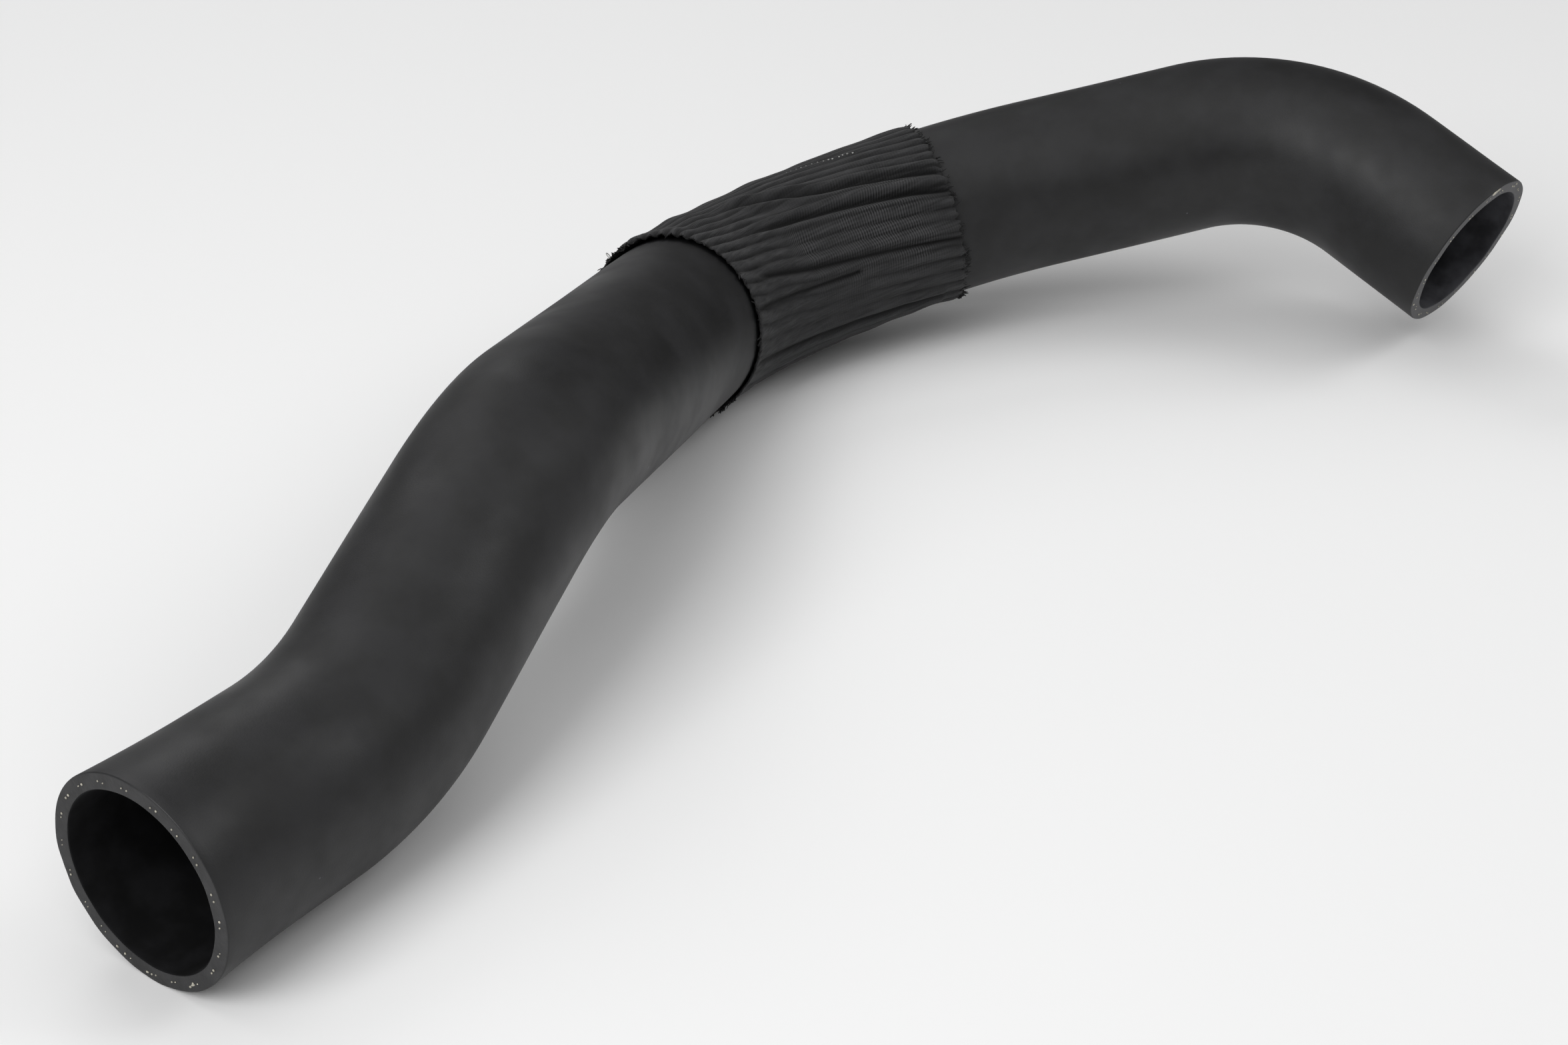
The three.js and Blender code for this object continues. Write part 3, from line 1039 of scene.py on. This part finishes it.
class HOSE_OT_pale_threads(bpy.types.Operator):
    """Adds the row of pale stitches on the sleeve, and the pale loop at its near edge"""

    bl_idname = "charge_hose.pale_threads"
    bl_label = "Pale threads"

    def execute(self, context):
        sizes = context.scene.sleeve_sizes
        relief = Relief(context.scene)
        draw = random.Random(5)
        bm = bmesh.new()
        (near, low), (far, high) = STITCH_ROW
        for stitch in range(STITCHES):
            share = (stitch + draw.uniform(-0.2, 0.2)) / (STITCHES - 1)
            along = sizes.start + (near + (far - near) * share) * MM
            around = math.radians(low + (high - low) * share + draw.uniform(-0.4, 0.4))
            length = (0.35 + 0.5 * share) * draw.uniform(0.6, 1.1) * MM
            points = [relief.point(along + length * step, around, 0.05 * MM)
                      for step in (-0.5, 0.0, 0.5)]
            strand(bm, points, THREAD_RADIUS * (0.8 + 1.2 * share))
        along, around = LOOP_PLACE
        foot = relief.point(sizes.start + along * MM, math.radians(around))
        edge = route.at(sizes.start)
        outward = (foot - edge.translation).normalized()
        sideways = -edge.col[2].xyz
        points = []
        for step in range(LOOP_STEPS):
            turn = math.tau * (step - 1) / (LOOP_STEPS - 2)
            across = 0.8 * math.sin(turn) + 0.25 * turn / math.tau
            points.append(foot + outward * LOOP_RADIUS * (0.9 - math.cos(turn))
                          + sideways * LOOP_RADIUS * across)
        strand(bm, points, THREAD_RADIUS * 1.1)
        bmesh.ops.recalc_face_normals(bm, faces=bm.faces)
        make_piece(bm, "pale_threads", "knit",
                   yarn_material("pale_thread", context.scene.hose_colours.pale_thread))
        return {"FINISHED"}


class HOSE_OT_stage(bpy.types.Operator):
    """Sets up the floor, the lamps, the surroundings and the camera"""

    bl_idname = "charge_hose.stage"
    bl_label = "Stage"

    def execute(self, context):
        scene = context.scene
        bm = bmesh.new()
        bmesh.ops.create_circle(bm, cap_ends=True, segments=FLOOR_SIDES, radius=FLOOR_RADIUS)
        mesh = bpy.data.meshes.new("studio_floor")
        bm.to_mesh(mesh)
        bm.free()
        floor = bpy.data.objects.new("studio_floor", mesh)
        scene.collection.objects.link(floor)
        paper = bpy.data.materials.new("pale_floor")
        paper.use_nodes = True
        shader = paper.node_tree.nodes["Principled BSDF"]
        shader.inputs["Base Color"].default_value = opaque(scene.hose_colours.floor)
        shader.inputs["Roughness"].default_value = FLOOR_ROUGHNESS
        mesh.materials.append(paper)

        for name, (place, size, power) in SOFTBOXES.items():
            lamp = bpy.data.lights.new(name, "AREA")
            lamp.shape = "SQUARE"
            lamp.size = size
            lamp.energy = power
            box = bpy.data.objects.new(name, lamp)
            box.matrix_world = (Matrix.Translation(place)
                                @ (-Vector(place)).to_track_quat("-Z", "Y").to_matrix().to_4x4())
            scene.collection.objects.link(box)

        world = bpy.data.worlds.new("studio")
        world.use_nodes = True
        sky = world.node_tree.nodes["Background"]
        sky.inputs["Color"].default_value = (1, 1, 1, 1)
        sky.inputs["Strength"].default_value = ROOM_LIGHT
        scene.world = world
        scene.view_settings.view_transform = "Standard"

        lens = bpy.data.cameras.new("camera")
        lens.lens = CAMERA_LENS
        lens.sensor_width = SENSOR_WIDTH
        lens.clip_start = 0.01
        camera = bpy.data.objects.new("camera", lens)
        aim = Matrix.Rotation(math.radians(CAMERA_HEADING - 90), 4, "Z") @ Matrix.Rotation(
            math.radians(90 - CAMERA_DIP), 4, "X")
        camera.matrix_world = (Matrix.Translation(CAMERA_PLACE) @ aim
                               @ Matrix.Rotation(math.radians(CAMERA_ROLL), 4, "Z"))
        scene.collection.objects.link(camera)
        scene.camera = camera
        return {"FINISHED"}


class HOSE_PT_panel(bpy.types.Panel):
    bl_idname = "HOSE_PT_panel"
    bl_label = "Charge air hose"
    bl_space_type = "VIEW_3D"
    bl_region_type = "UI"
    bl_category = "Hose"

    def draw(self, context):
        layout = self.layout
        for group in ("hose_sizes", "sleeve_sizes", "hose_colours"):
            settings = getattr(context.scene, group)
            box = layout.box()
            for name in settings.__annotations__:
                box.prop(settings, name)
        for operator in OPERATORS:
            layout.operator(operator.bl_idname)


GROUPS = {
    "hose_sizes": HoseSizes,
    "sleeve_sizes": SleeveSizes,
    "hose_colours": HoseColours,
}
OPERATORS = (HOSE_OT_rubber, HOSE_OT_yarn_ends, HOSE_OT_sleeve, HOSE_OT_loose_threads,
             HOSE_OT_pale_threads, HOSE_OT_stage)
CLASSES = (*GROUPS.values(), *OPERATORS, HOSE_PT_panel)


def register():
    for kind in CLASSES:
        bpy.utils.register_class(kind)
    for name, kind in GROUPS.items():
        setattr(bpy.types.Scene, name, PointerProperty(type=kind))


def unregister():
    for name in GROUPS:
        delattr(bpy.types.Scene, name)
    for kind in reversed(CLASSES):
        bpy.utils.unregister_class(kind)


def main():
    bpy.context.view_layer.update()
    register()
    for make in (patches_group, specks_group, grain_group, knit_group, outlet_group):
        make()
    bpy.ops.charge_hose.rubber()
    bpy.ops.charge_hose.yarn_ends()
    bpy.ops.charge_hose.sleeve()
    bpy.ops.charge_hose.loose_threads()
    bpy.ops.charge_hose.pale_threads()
    bpy.ops.charge_hose.stage()


if __name__ == "__main__":
    main()
